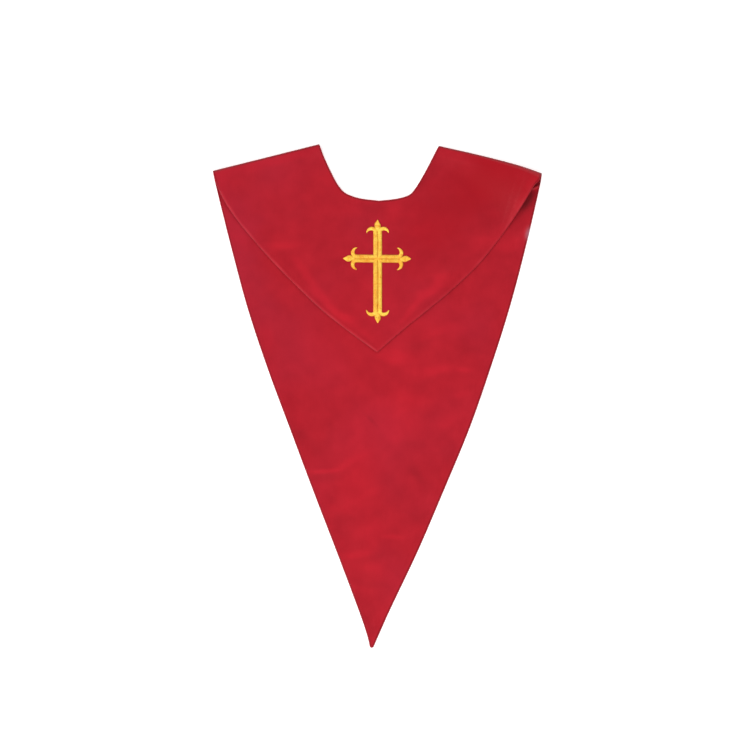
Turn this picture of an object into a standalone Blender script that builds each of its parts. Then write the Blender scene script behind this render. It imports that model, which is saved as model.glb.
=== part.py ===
"""A choir stole laid flat: a short satin V with a raised gold cross, on the long satin V that it is sewn to.

The garment rests on the plane z = 0. +X is to the right of its front and +Y runs up to its shoulders.
Sizes are in millimetres until a mesh is made, which is in metres.
"""

import math
from collections import namedtuple

import bmesh
import bpy
from mathutils.geometry import delaunay_2d_cdt

MM = 0.001

# Cloth: each panel is two satin plies, sewn along the edge and turned
WALL = 1.5
GAP = 0.3
TURNED_EDGE_ROUND = 0.9
SEAM_EDGE_ROUND = 0.4
RIM_ANGLES = (-90, -30, 30, 90)
POINT_ROUND = 1.6

# The band where the seam allowance lies between the plies, and the step at its inner edge
BAND_RISE = 0.4
BAND_WIDTH = 12
BAND_STEP = 5

# Mesh spacing along edges and inside the panels
BACK_SPACING = 15
FRONT_SPACING = 12
NECK_SPACING = 8
FINE_SPACING = 0.3
FILL_SPACING = 1.4
FOLD_ROWS = 3
SETTLE_ROWS = 4
SEAM_CLEARANCE = 0.5
LATTICE_ROW = math.sqrt(3) / 2
LATTICE_CLEARANCE = 0.6
BAND_CLEARANCE = 3
BAND_CORNER_SHARE = 0.97

# Each panel's width from its shoulder corners down to its point: where its edges lie at each height
Section = namedtuple("Section", "y left right")
BACK_SECTIONS = (
    Section(y=322, left=-248.6, right=250.4),
    Section(y=225, left=-224.4, right=228.4),
    Section(y=132, left=-199.2, right=203.6),
    Section(y=39, left=-168.2, right=174.0),
    Section(y=-53, left=-134.0, right=141.7),
    Section(y=-146, left=-99.2, right=103.1),
    Section(y=-238, left=-63.8, right=63.8),
    Section(y=-331, left=-28.8, right=19.8),
)
BACK_POINT = (-8.4, -391.3)
FRONT_SECTIONS = (
    Section(y=332, left=-249.6, right=249.6),
    Section(y=324, left=-247.0, right=242.2),
    Section(y=300, left=-235.5, right=227.9),
    Section(y=270, left=-215.6, right=208.8),
    Section(y=235, left=-186.6, right=183.6),
    Section(y=200, left=-155.1, right=154.5),
    Section(y=165, left=-120.4, right=117.8),
    Section(y=130, left=-83.2, right=75.9),
    Section(y=100, left=-45.2, right=38.7),
)
FRONT_POINT = (0.1, 66.5)

# The front neckline's scoop, between the neck points
NECK_SCOOP = (
    (-82.1, 369.1),
    (-71.3, 345.5),
    (-62.0, 328.0),
    (-52.7, 315.8),
    (-43.5, 310.0),
    (-24.9, 304.3),
    (2.9, 300.9),
    (30.7, 304.1),
    (49.2, 309.8),
    (58.5, 319.4),
    (68.4, 335.2),
    (78.0, 352.6),
    (88.0, 372.0),
)
BACK_NECK_DROP = 19

# The shoulder folds, as seen from above, from the neck point to the corner
LEFT_SHOULDER = ((-89.4, 388.3), (-254.0, 346.9))
RIGHT_SHOULDER = ((95.3, 385.6), (158.9, 371.1), (220.6, 354.8), (254.0, 343.0))

# How round each shoulder fold is, and how far the front panel takes to lie down past it
Fold = namedtuple("Fold", "neck_radius corner_radius neck_settle corner_settle")
RADIUS_GROWTH = 2.0
SETTLE_GROWTH = 1.5
LEFT_FOLD = Fold(neck_radius=2.2, corner_radius=4.2, neck_settle=26, corner_settle=96)
RIGHT_FOLD = Fold(neck_radius=2.4, corner_radius=9.0, neck_settle=30, corner_settle=130)

# Soft creases pressed into each panel: a row for each, with its middle, its direction and its size
Crease = namedtuple("Crease", "x y angle length width height")
FRONT_CREASES = (
    Crease(x=-70, y=145, angle=-44, length=70, width=9, height=0.7),
    Crease(x=72, y=160, angle=34, length=80, width=13, height=0.8),
    Crease(x=-145, y=232, angle=2, length=52, width=7, height=0.5),
    Crease(x=158, y=245, angle=40, length=60, width=16, height=0.7),
)
BACK_CREASES = (
    Crease(x=-82, y=-116, angle=4, length=50, width=7, height=0.6),
    Crease(x=45, y=-40, angle=62, length=170, width=30, height=0.7),
    Crease(x=-30, y=-185, angle=-70, length=190, width=26, height=0.6),
    Crease(x=222, y=246, angle=72, length=26, width=7, height=0.8),
    Crease(x=110, y=60, angle=38, length=110, width=20, height=0.5),
)
CREASE_END_FADE = 8.0
COVERED_MARGIN = 4
COVERED_FADE = 20

# The embroidered cross: its middle, its four arms and the satin-stitch columns that it is made of
CROSS_MIDDLE = (0.3, 211.4)
ARM_UP = 60.4
ARM_DOWN = 99.4
ARM_SIDE = 52.8
UPRIGHT_WIDTH = 13.2
CROSSBAR_WIDTH = 11.8
COLUMN_OVERLAP = 0.5
STITCH_EDGE = 0.35
STITCH_CROWN = 1.05
FULL_CROWN_WIDTH = 3.0
BAR_END_INSET = 11.5
STITCH_SECTION = ((-1.0, 0.0), (-0.6, 0.72), (0.0, 1.0), (0.6, 0.72), (1.0, 0.0))

# Half widths along a leaf, and along one of the crescents beside it, from the tip of the arm inwards
StitchRow = namedtuple("StitchRow", "inwards aside half")
LEAF = (
    StitchRow(inwards=0.0, aside=0.0, half=0.25),
    StitchRow(inwards=2.6, aside=0.0, half=2.1),
    StitchRow(inwards=5.6, aside=0.0, half=3.9),
    StitchRow(inwards=8.6, aside=0.0, half=4.6),
    StitchRow(inwards=11.4, aside=0.0, half=4.0),
    StitchRow(inwards=14.5, aside=0.0, half=3.0),
)
CRESCENT = (
    StitchRow(inwards=19.6, aside=18.2, half=0.25),
    StitchRow(inwards=16.9, aside=17.1, half=1.1),
    StitchRow(inwards=14.4, aside=14.6, half=2.0),
    StitchRow(inwards=13.0, aside=11.0, half=2.6),
    StitchRow(inwards=13.3, aside=7.0, half=2.9),
    StitchRow(inwards=15.2, aside=2.6, half=3.0),
)
SIDE_CRESCENT_SIZE = 0.93
SIDE_CRESCENT_INSET = 1.6

# Colours as they look in daylight, from 0 to 255, and how rough each finish is
SATIN_RED = (181, 37, 48)
SATIN_ROUGHNESS = 0.42
THREAD_GOLD = (243, 186, 70)
THREAD_ROUGHNESS = 0.35
DISPLAY_GAMMA = 2.2
SHARPEST_SMOOTH_TURN = math.radians(40)


def ease(value, start, end):
    """0 before start, 1 after end, and a soft curve between them."""
    fraction = min(1.0, max(0.0, (value - start) / (end - start)))
    return fraction * fraction * (3 - 2 * fraction)


def mix(start, end, fraction):
    return start + (end - start) * fraction


def smooth_curve(points, spacing):
    """Points about `spacing` apart on a smooth curve through the given points, with both ends."""
    last = len(points) - 1
    curve = []
    for index in range(last):
        before, start = points[max(index - 1, 0)], points[index]
        end, after = points[index + 1], points[min(index + 2, last)]
        chord = math.dist(start, end)
        leaving = [chord * (e - b) / math.dist(before, end) for b, e in zip(before, end)]
        arriving = [chord * (a - s) / math.dist(start, after) for s, a in zip(start, after)]
        steps = max(1, round(chord / spacing))
        for step in range(steps):
            t = step / steps
            weights = (
                2 * t**3 - 3 * t**2 + 1,
                t**3 - 2 * t**2 + t,
                3 * t**2 - 2 * t**3,
                t**3 - t**2,
            )
            terms = (start, leaving, end, arriving)
            curve.append(tuple(sum(w * term[axis] for w, term in zip(weights, terms)) for axis in (0, 1)))
    curve.append(tuple(points[last]))
    return curve


def rounded_point(before, point, after, radius):
    """Three points of a small arc in place of a sharp point."""
    towards = []
    for neighbour in (before, after):
        length = math.dist(point, neighbour)
        towards.append([(n - p) / length for n, p in zip(neighbour, point)])
    half_angle = math.acos(sum(a * b for a, b in zip(*towards))) / 2
    reach = radius / math.tan(half_angle)
    middle = [a + b for a, b in zip(*towards)]
    length = math.hypot(*middle)
    rise = radius / math.sin(half_angle) - radius
    tangents = [[p + t * reach for p, t in zip(point, way)] for way in towards]
    top = [p + m / length * rise for p, m in zip(point, middle)]
    return [tuple(tangents[0]), tuple(top), tuple(tangents[1])]


def edge_distance(x, y, outline):
    """How far a point is from an outline, positive inside it."""
    nearest = math.inf
    inside = False
    for (ax, ay), (bx, by) in zip(outline, outline[1:] + outline[:1]):
        dx, dy = bx - ax, by - ay
        along = ((x - ax) * dx + (y - ay) * dy) / (dx * dx + dy * dy)
        along = min(1.0, max(0.0, along))
        nearest = min(nearest, math.hypot(x - ax - along * dx, y - ay - along * dy))
        if (ay > y) != (by > y) and x < ax + (y - ay) / dy * dx:
            inside = not inside
    return nearest if inside else -nearest


class Shoulder:
    """A shoulder fold. The seam runs along its outermost line, and both panels curl up to it."""

    def __init__(self, line, fold):
        self.line = smooth_curve(line, BACK_SPACING)
        self.fold = fold
        self.lengths = [0.0]
        for start, end in zip(self.line, self.line[1:]):
            self.lengths.append(self.lengths[-1] + math.dist(start, end))

    def radius(self, share):
        return mix(self.fold.neck_radius, self.fold.corner_radius, share**RADIUS_GROWTH)

    def settle(self, share):
        return mix(self.fold.neck_settle, self.fold.corner_settle, share**SETTLE_GROWTH)

    def slack(self, share):
        """How much further the pattern reaches than the fold shows from above."""
        radius = self.radius(share)
        return radius * math.pi / 2 - radius - WALL / 2

    def locate(self, x, y):
        """A point's share of the way to the corner, its way in from the fold line and its depth that way."""
        best = None
        for index, ((ax, ay), (bx, by)) in enumerate(zip(self.line, self.line[1:])):
            length = math.dist((ax, ay), (bx, by))
            way = ((bx - ax) / length, (by - ay) / length)
            inwards = (way[1], -way[0]) if way[0] > 0 else (-way[1], way[0])
            along = (x - ax) * way[0] + (y - ay) * way[1]
            held = min(length, max(0.0, along))
            away = math.hypot(x - ax - held * way[0], y - ay - held * way[1])
            if best is None or away < best[0]:
                share = (self.lengths[index] + along) / self.lengths[-1]
                depth = (x - ax) * inwards[0] + (y - ay) * inwards[1]
                best = (away, min(1.0, max(0.0, share)), inwards, depth)
        return best[1:]

    def seam(self, spacing):
        """The pattern's seam edge, from the neck point to the corner."""
        edge = []
        for x, y in smooth_curve(self.line, spacing):
            share, inwards, _ = self.locate(x, y)
            out = self.slack(share) - GAP / 2
            edge.append((x - inwards[0] * out, y - inwards[1] * out))
        return edge

    def rows(self, spacing, settle_rows):
        """Pattern points in rows along the fold, where the cloth turns and then settles."""
        points = []
        for x, y in smooth_curve(self.line, spacing)[1:-1]:
            share, inwards, _ = self.locate(x, y)
            quarter = self.radius(share) * math.pi / 2
            cloth = [quarter * row / FOLD_ROWS for row in range(1, FOLD_ROWS + 1)]
            cloth += [quarter + self.settle(share) * row / SETTLE_ROWS for row in range(1, settle_rows + 1)]
            for length in cloth:
                depth = length - self.slack(share)
                points.append((x + inwards[0] * depth, y + inwards[1] * depth))
        return points


SHOULDERS = {
    "left": Shoulder(LEFT_SHOULDER, LEFT_FOLD),
    "right": Shoulder(RIGHT_SHOULDER, RIGHT_FOLD),
}


def shoulder_at(x):
    return SHOULDERS["left" if x < 0 else "right"]


def curl(shoulder, x, y, place, height, above):
    """A point of the cloth in the shoulder fold, `height` above the panel's own underside."""
    share, inwards, depth = place
    radius = shoulder.radius(share)
    angle = (depth + shoulder.slack(share)) / radius
    side = 1 if above else -1
    reach = radius + side * (height - WALL / 2)
    shift = WALL / 2 + radius - reach * math.cos(angle) - depth
    return (
        x + inwards[0] * shift,
        y + inwards[1] * shift,
        WALL / 2 + radius + side * reach * math.sin(angle),
    )


def in_curl(shoulder, place):
    share, _, depth = place
    return depth < WALL / 2 + shoulder.radius(share)


def edge_from_seam(points, spacing):
    """An edge that leaves a shoulder seam: close points where the cloth turns, and then even ones."""
    fine = smooth_curve(points, FINE_SPACING)
    edge = [fine[0]]
    shoulder = shoulder_at(points[0][0])
    row = 1
    for point in fine[1:-1]:
        share, _, depth = shoulder.locate(*point)
        if row <= FOLD_ROWS:
            wanted = shoulder.radius(share) * math.pi / 2 * row / FOLD_ROWS - shoulder.slack(share)
            if depth >= wanted:
                edge.append(point)
                row += 1
        elif math.dist(point, edge[-1]) >= spacing and math.dist(point, fine[-1]) > spacing / 2:
            edge.append(point)
    return edge + [fine[-1]]


def panel_outline(sections, point, neckline, spacing):
    """A panel's pattern, anticlockwise from the left shoulder corner, and whether each point is on a seam."""
    left_seam = SHOULDERS["left"].seam(spacing)
    right_seam = SHOULDERS["right"].seam(spacing)
    left_side = edge_from_seam([left_seam[-1], *((s.left, s.y) for s in sections), point], spacing)
    right_side = edge_from_seam([right_seam[-1], *((s.right, s.y) for s in sections), point], spacing)
    tip = rounded_point(left_side[-2], point, right_side[-2], POINT_ROUND)
    middle = len(neckline) // 2
    left_neck = edge_from_seam([left_seam[0], *neckline[: middle + 1]], NECK_SPACING)
    right_neck = edge_from_seam([right_seam[0], *reversed(neckline[middle:])], NECK_SPACING)
    neck = right_neck + left_neck[-2::-1]
    free = left_side[:-1] + tip + right_side[-2::-1]
    outline = free + right_seam[-2::-1] + neck[1:] + left_seam[1:-1]
    seams = [False] * (len(free) - 1) + [True] * len(right_seam)
    seams += [False] * (len(neck) - 2) + [True] * (len(left_seam) - 1)
    seams[0] = True
    return outline, seams


def back_neckline():
    """The back neckline: the front one, dropped most at its middle, so that it lies hidden below it."""
    top = max(y for _, y in NECK_SCOOP)
    bottom = min(y for _, y in NECK_SCOOP)
    return [(x, y - BACK_NECK_DROP * (top - y) / (top - bottom)) for x, y in NECK_SCOOP]


BACK_OUTLINE, BACK_SEAMS = panel_outline(BACK_SECTIONS, BACK_POINT, back_neckline(), BACK_SPACING)
FRONT_OUTLINE, FRONT_SEAMS = panel_outline(FRONT_SECTIONS, FRONT_POINT, NECK_SCOOP, FRONT_SPACING)


def crease_height(x, y, creases):
    """The height of the soft creases at a point, each fading out along and across itself."""
    total = 0.0
    for crease in creases:
        turn = math.radians(crease.angle)
        along = (x - crease.x) * math.cos(turn) + (y - crease.y) * math.sin(turn)
        across = (y - crease.y) * math.cos(turn) - (x - crease.x) * math.sin(turn)
        fade = CREASE_END_FADE * (along / crease.length) ** 2 + (across / crease.width) ** 2
        total += crease.height * math.exp(-fade)
    return total


def band_rise(x, y, outline):
    """The extra thickness where the seam allowance lies inside the edge."""
    return BAND_RISE * (1 - ease(edge_distance(x, y, outline), BAND_WIDTH, BAND_WIDTH + BAND_STEP))


def back_thickness(x, y):
    """The long panel's thickness. Under the short panel it is pressed flat."""
    bare = ease(-edge_distance(x, y, FRONT_OUTLINE), COVERED_MARGIN, COVERED_FADE)
    if bare == 0:
        return WALL
    return WALL + bare * (band_rise(x, y, BACK_OUTLINE) + crease_height(x, y, BACK_CREASES))


def front_thickness(x, y):
    """The short panel's thickness, plain at the shoulder seams and round the embroidery."""
    place = shoulder_at(x).locate(x, y)
    clear = ease(place[2], WALL / 2 + shoulder_at(x).radius(place[0]), BAND_WIDTH + BAND_STEP)
    return WALL + clear * band_rise(x, y, FRONT_OUTLINE)


def lay_back(x, y, share):
    """Where the long panel's cloth lies, at a share of the way up through its wall."""
    shoulder = shoulder_at(x)
    place = shoulder.locate(x, y)
    if in_curl(shoulder, place):
        return curl(shoulder, x, y, place, share * WALL, above=False)
    return x, y, share * back_thickness(x, y)


def front_lift(shoulder, place):
    """How far the front panel still stands off the back one, past the shoulder fold."""
    share, _, depth = place
    radius = shoulder.radius(share)
    crest = 2 * radius - WALL - GAP
    settled = (depth - WALL / 2 - radius) / shoulder.settle(share)
    return crest * (0.5 + 0.5 * math.cos(math.pi * min(1.0, max(0.0, settled))))


def lay_front(x, y, share):
    """Where the short panel's cloth lies, at a share of the way up through its wall."""
    shoulder = shoulder_at(x)
    place = shoulder.locate(x, y)
    if in_curl(shoulder, place):
        return curl(shoulder, x, y, place, share * WALL, above=True)
    underside = WALL + GAP + front_lift(shoulder, place) + crease_height(x, y, FRONT_CREASES)
    return x, y, underside + share * front_thickness(x, y)


def inset(outline, rounds):
    """The outline moved in by each point's own distance, kept parallel to both its neighbours."""
    moved = []
    count = len(outline)
    for index, (x, y) in enumerate(outline):
        before, after = outline[index - 1], outline[(index + 1) % count]
        normals = []
        for (ax, ay), (bx, by) in ((before, (x, y)), ((x, y), after)):
            length = math.dist((ax, ay), (bx, by))
            normals.append(((ay - by) / length, (bx - ax) / length))
        mitre = (normals[0][0] + normals[1][0], normals[0][1] + normals[1][1])
        scale = 2 / (mitre[0] ** 2 + mitre[1] ** 2) * rounds[index]
        moved.append((x + mitre[0] * scale, y + mitre[1] * scale))
    return moved


def fill_points(outline, spacing, settle_rows):
    """Points inside a panel: rows along its shoulder folds and its edges, and an even lattice between."""
    folds = [point for shoulder in SHOULDERS.values() for point in shoulder.rows(spacing, settle_rows)]
    bands = []
    for row in (BAND_WIDTH - 1, BAND_WIDTH + BAND_STEP / 2, BAND_WIDTH + BAND_STEP + 1):
        for point in inset(outline, [row] * len(outline)):
            if edge_distance(*point, outline) > BAND_CORNER_SHARE * row:
                bands.append(point)
    lattice = []
    step = spacing * FILL_SPACING
    low = [min(p[axis] for p in outline) for axis in (0, 1)]
    high = [max(p[axis] for p in outline) for axis in (0, 1)]
    for row in range(int((high[1] - low[1]) / (step * LATTICE_ROW))):
        for column in range(int((high[0] - low[0]) / step) + 1):
            x = low[0] + (column + 0.5 * (row % 2)) * step
            lattice.append((x, low[1] + row * step * LATTICE_ROW))
    kept = []
    for group, edge_clearance, clearance in (
        (folds, SEAM_CLEARANCE, 0),
        (bands, BAND_CLEARANCE, BAND_CLEARANCE),
        (lattice, step / 2, step * LATTICE_CLEARANCE),
    ):
        for point in group:
            if edge_distance(*point, outline) > edge_clearance:
                if all(math.dist(point, other) >= clearance for other in kept):
                    kept.append(point)
    return kept


def cloth_panel(name, outline, seams, lay, spacing, settle_rows, material, collection):
    """A closed wall of cloth: two skins from the pattern, joined round the edge by a rounded rim."""
    rounds = [SEAM_EDGE_ROUND if seam else TURNED_EDGE_ROUND for seam in seams]
    mesh = bmesh.new()
    loops = []
    for angle in RIM_ANGLES:
        turn = math.radians(angle)
        widest = math.cos(math.radians(RIM_ANGLES[1]))
        pattern = inset(outline, [r * (widest - math.cos(turn)) for r in rounds])
        share = (1 + math.sin(turn)) / 2
        loops.append([mesh.verts.new(lay(x, y, share)) for x, y in pattern])
        if angle == RIM_ANGLES[-1]:
            border = pattern
    count = len(outline)
    for lower, upper in zip(loops, loops[1:]):
        for index in range(count):
            after = (index + 1) % count
            mesh.faces.new((lower[index], lower[after], upper[after], upper[index]))
    inner = fill_points(outline, spacing, settle_rows)
    filled = delaunay_2d_cdt(border + inner, [], [list(range(count))], 0, 1e-4, True)
    points, origins = filled[0], filled[3]
    triangles = [triangle for triangle, inside in zip(filled[2], filled[5]) if inside]
    for skin, share in ((loops[0], 0.0), (loops[-1], 1.0)):
        corners = []
        for point, origin in zip(points, origins):
            on_border = [index for index in origin if index < count]
            if on_border:
                corners.append(skin[on_border[0]])
            else:
                corners.append(mesh.verts.new(lay(point.x, point.y, share)))
        for triangle in triangles:
            ordered = triangle if share else list(reversed(triangle))
            mesh.faces.new([corners[index] for index in ordered])
    return finish_mesh(name, mesh, material, collection)


def finish_mesh(name, mesh, material, collection):
    """Turns a mesh in millimetres into an object in metres, shaded smooth but for its sharp turns."""
    bmesh.ops.scale(mesh, vec=(MM, MM, MM), verts=mesh.verts)
    bmesh.ops.recalc_face_normals(mesh, faces=mesh.faces)
    data = bpy.data.meshes.new(name)
    mesh.to_mesh(data)
    mesh.free()
    data.shade_smooth()
    data.set_sharp_from_angle(angle=SHARPEST_SMOOTH_TURN)
    data.materials.append(material)
    piece = bpy.data.objects.new(name, data)
    collection.objects.link(piece)
    return piece


def cloth_material(name, colour, roughness):
    """A plain finish of the given colour. Cloth and thread have no metal in them."""
    material = bpy.data.materials.new(name)
    material.use_nodes = True
    shader = material.node_tree.nodes["Principled BSDF"]
    linear = [(channel / 255) ** DISPLAY_GAMMA for channel in colour]
    shader.inputs["Base Color"].default_value = (*linear, 1)
    shader.inputs["Roughness"].default_value = roughness
    shader.inputs["Metallic"].default_value = 0
    return material


def stitch_column(name, rows, material, collection):
    """A column of satin stitch with a crowned top, along rows of x, y and half width."""
    base = lay_front(*CROSS_MIDDLE, 1.0)[2] + GAP
    mesh = bmesh.new()
    rings = []
    for index, (x, y, half) in enumerate(rows):
        before, after = rows[max(index - 1, 0)], rows[min(index + 1, len(rows) - 1)]
        length = math.dist(before[:2], after[:2])
        across = ((before[1] - after[1]) / length, (after[0] - before[0]) / length)
        crown = STITCH_CROWN * min(1.0, half / FULL_CROWN_WIDTH)
        top = [(sideways, STITCH_EDGE + crown * rise) for sideways, rise in STITCH_SECTION]
        section = [(-1.0, 0.0), *top, (1.0, 0.0)]
        ring = []
        for sideways, height in section:
            place = (x + across[0] * half * sideways, y + across[1] * half * sideways, base + height)
            ring.append(mesh.verts.new(place))
        rings.append(ring)
    for first, second in zip(rings, rings[1:]):
        for index in range(len(first)):
            after = (index + 1) % len(first)
            mesh.faces.new((first[index], first[after], second[after], second[index]))
    mesh.faces.new(rings[0])
    mesh.faces.new(list(reversed(rings[-1])))
    return finish_mesh(name, mesh, material, collection)


def cross_columns():
    """Every stitch column of the cross, by name: two to a bar, and a leaf and two crescents to an arm."""
    across, along = CROSS_MIDDLE
    columns = {}
    for side in (-1, 1):
        half = UPRIGHT_WIDTH / 4 + COLUMN_OVERLAP / 2
        x = across + side * (UPRIGHT_WIDTH / 4 - COLUMN_OVERLAP / 2)
        ends = (along + ARM_UP - BAR_END_INSET, along - ARM_DOWN + BAR_END_INSET)
        columns[f"upright_{side}"] = [(x, y, half) for y in ends]
        half = CROSSBAR_WIDTH / 4 + COLUMN_OVERLAP / 2
        y = along + side * (CROSSBAR_WIDTH / 4 - COLUMN_OVERLAP / 2)
        ends = (across - ARM_SIDE + BAR_END_INSET, across + ARM_SIDE - BAR_END_INSET)
        columns[f"crossbar_{side}"] = [(x, y, half) for x in ends]
    arms = {
        "top": (0, 1, ARM_UP),
        "bottom": (0, -1, ARM_DOWN),
        "left": (-1, 0, ARM_SIDE),
        "right": (1, 0, ARM_SIDE),
    }
    for arm, (way_x, way_y, reach) in arms.items():
        size, set_in = (SIDE_CRESCENT_SIZE, SIDE_CRESCENT_INSET) if way_x else (1, 0)
        for side in (-1, 0, 1):
            rows = []
            for row in CRESCENT if side else LEAF:
                out = reach - row.inwards - (set_in if side else 0)
                aside = side * row.aside * size
                x = across + way_x * out - way_y * aside
                y = along + way_y * out + way_x * aside
                rows.append((x, y, row.half))
            columns[f"{arm}_{side}"] = rows
    return columns


def embroidered_cross(material, collection, columns_collection):
    """The cross: its stitch columns joined into one raised piece."""
    columns = cross_columns()
    first = next(iter(columns))
    cross = stitch_column("cross_embroidery", columns.pop(first), material, collection)
    for name, rows in columns.items():
        column = stitch_column(f"column_{name}", rows, material, columns_collection)
        column.hide_render = True
        column.display_type = "WIRE"
    joined = cross.modifiers.new("joined columns", "BOOLEAN")
    joined.operation = "UNION"
    joined.solver = "EXACT"
    joined.operand_type = "COLLECTION"
    joined.collection = columns_collection
    return cross


def clear_scene():
    for leftover in list(bpy.data.objects):
        bpy.data.objects.remove(leftover)


def new_collection(name):
    collection = bpy.data.collections.new(name)
    bpy.context.scene.collection.children.link(collection)
    return collection


def main():
    clear_scene()
    stole = new_collection("choir_stole")
    columns = new_collection("cross_stitch_columns")
    columns.hide_render = True
    back_satin = cloth_material("back_satin", SATIN_RED, SATIN_ROUGHNESS)
    front_satin = cloth_material("front_satin", SATIN_RED, SATIN_ROUGHNESS)
    gold_thread = cloth_material("gold_thread", THREAD_GOLD, THREAD_ROUGHNESS)
    back = (BACK_OUTLINE, BACK_SEAMS, lay_back, BACK_SPACING, 0)
    front = (FRONT_OUTLINE, FRONT_SEAMS, lay_front, FRONT_SPACING, SETTLE_ROWS)
    cloth_panel("back_panel", *back, back_satin, stole)
    cloth_panel("front_panel", *front, front_satin, stole)
    embroidered_cross(gold_thread, stole, columns)


main()
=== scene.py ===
# %% [markdown]
# A choir stole is a flat V of satin that a singer wears over a robe. This one lies on a table: the
# short front V, with an embroidered cross, lies on the long back V, and the two are sewn together
# along the shoulders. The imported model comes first, because every piece is fitted to its solids.

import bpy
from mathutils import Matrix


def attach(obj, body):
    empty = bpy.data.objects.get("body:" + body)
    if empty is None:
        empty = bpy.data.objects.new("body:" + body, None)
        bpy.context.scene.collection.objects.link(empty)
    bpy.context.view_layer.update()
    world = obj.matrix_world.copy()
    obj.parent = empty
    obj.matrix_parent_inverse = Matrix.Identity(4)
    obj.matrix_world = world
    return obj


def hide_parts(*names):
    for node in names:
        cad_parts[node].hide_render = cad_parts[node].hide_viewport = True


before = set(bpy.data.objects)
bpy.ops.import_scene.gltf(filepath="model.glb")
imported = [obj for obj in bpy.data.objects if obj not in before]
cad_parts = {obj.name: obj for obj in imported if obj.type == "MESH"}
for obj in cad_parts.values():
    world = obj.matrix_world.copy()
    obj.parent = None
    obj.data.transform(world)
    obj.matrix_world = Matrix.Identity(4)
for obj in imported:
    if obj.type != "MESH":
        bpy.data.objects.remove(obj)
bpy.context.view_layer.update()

# %% [markdown]
# Blender is driven by the operators behind its own menus, and numpy works out the places of the
# cloth and the thread. A pattern is drawn in millimetres, so the numbers here are millimetres too.

# %% Tools and units
from collections import namedtuple
from functools import partialmethod
from math import acos, ceil, cos, pi, radians, sin, sqrt, tan

import bpy
import numpy as np
from mathutils import Color, Vector
from mathutils.geometry import delaunay_2d_cdt
from mathutils.kdtree import KDTree
from numpy.linalg import norm

MM = 0.001
scene = bpy.context.scene
print("sizes below are in millimetres, and become metres when a mesh is made")

# %% [markdown]
# The picture looks straight down on the table. A long lens far away keeps the two layers of cloth
# from sliding apart towards the edges of the picture, as it would in a copy stand.

# %% Camera
PICTURE_WIDTH = 1158.4
PICTURE_CENTRE = (-3.3, 31.8)
LENS = 200
SENSOR = 36

bpy.ops.object.select_all(action="DESELECT")
height = PICTURE_WIDTH * MM * LENS / SENSOR
bpy.ops.object.camera_add(
    location=(PICTURE_CENTRE[0] * MM, PICTURE_CENTRE[1] * MM, height), rotation=(0, 0, 0)
)
camera = bpy.context.object
camera.data.lens = LENS
camera.data.sensor_width = SENSOR
scene.camera = camera
print("camera", round(height, 3), "m above the table")

# %% [markdown]
# A finish is built from shader nodes. Written as sums in Python, they read like the recipe: this
# little class wraps a node's output, so that `1 - worn` or `grain * 0.3` adds the Math node. The
# floor, the white tent, the satin and the thread are all made with it.


# %% Shader sums
class Shade:
    """The output of a shader node. Arithmetic on it adds Math nodes."""

    def __init__(self, finish, socket):
        self.finish = finish
        self.socket = socket

    def maths(self, operation, *others):
        """A Math node with this output in its first socket and the others after it."""
        values = dict(enumerate((self, *others)))
        return self.finish.node("Math", {"operation": operation}, values)

    __add__ = __radd__ = partialmethod(maths, "ADD")
    __mul__ = partialmethod(maths, "MULTIPLY")
    __sub__ = partialmethod(maths, "SUBTRACT")
    __truediv__ = partialmethod(maths, "DIVIDE")
    __pow__ = partialmethod(maths, "POWER")

    def __rsub__(self, other):
        return self.finish.node("Math", {"operation": "SUBTRACT"}, {0: other, 1: self})


class Finish:
    """The nodes of a material or the world, and the one method that adds any kind of node."""

    def __init__(self, owner, shader="Principled BSDF"):
        owner.use_nodes = True
        self.owner = owner
        self.tree = owner.node_tree
        self.shader = self.tree.nodes[shader]

    def node(self, kind, settings=None, values=None, output=0):
        made = self.tree.nodes.new("ShaderNode" + kind)
        for setting, value in (settings or {}).items():
            setattr(made, setting, value)
        for socket, value in (values or {}).items():
            self.feed(made.inputs[socket], value)
        return Shade(self, made.outputs[output])

    def feed(self, socket, value):
        if isinstance(value, Shade):
            self.tree.links.new(value.socket, socket)
        else:
            socket.default_value = value

    def set(self, **values):
        """Sets the shader's own sockets, with _ for a space."""
        for name, value in values.items():
            self.feed(self.shader.inputs[name.replace("_", " ")], value)

    def kept(self, names):
        """The numbers that a mesh keeps at its points under these names."""
        return [self.node("Attribute", {"attribute_name": name}, output="Fac")
                for name in names.split()]

    def split(self, place, axes="XY"):
        """Some of the coordinates of a place."""
        return [self.node("SeparateXYZ", values={0: place}, output=axis) for axis in axes]

    def blend(self, factor, first, second):
        """A colour from first, at factor 0, to second, at factor 1."""
        settings = {"data_type": "RGBA", "clamp_factor": True}
        return self.node("Mix", settings, {0: factor, 6: first, 7: second}, output=2)

    def cloudy(self, place, scale, detail=2.0):
        """Soft noise from 0 to 1, with `scale` clouds to the metre."""
        return self.node("TexNoise", values={"Vector": place, "Scale": scale, "Detail": detail})

    def stretched(self, place, x, y):
        """A place scaled by x and y, which stretches a pattern."""
        return self.node("VectorMath", {"operation": "MULTIPLY"}, {0: place, 1: (x, y, 1)})

    def bump(self, height, strength, distance):
        values = {"Height": height, "Strength": strength, "Distance": distance * MM}
        return self.node("Bump", values=values)


def colour(red, green, blue, light=1.0):
    """A colour as it looks in daylight, 0 to 255, in Blender's linear values."""
    linear = Color((red / 255, green / 255, blue / 255)).from_srgb_to_scene_linear()
    return (*(linear * light), 1)


print("red satin, linear:", [round(c, 3) for c in colour(181, 37, 48)])

# %% [markdown]
# The light is that of a product table: a white tent all round, dimmer overhead where the camera
# looks in and brighter on the left, and two large soft boxes that point at the middle of the stole,
# the stronger one at the left. Flat satin then mirrors only the dim top of the tent and keeps its
# deep red, and what tilts catches light. The floor is so bright that it comes out white, as in a
# catalogue picture.

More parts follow.
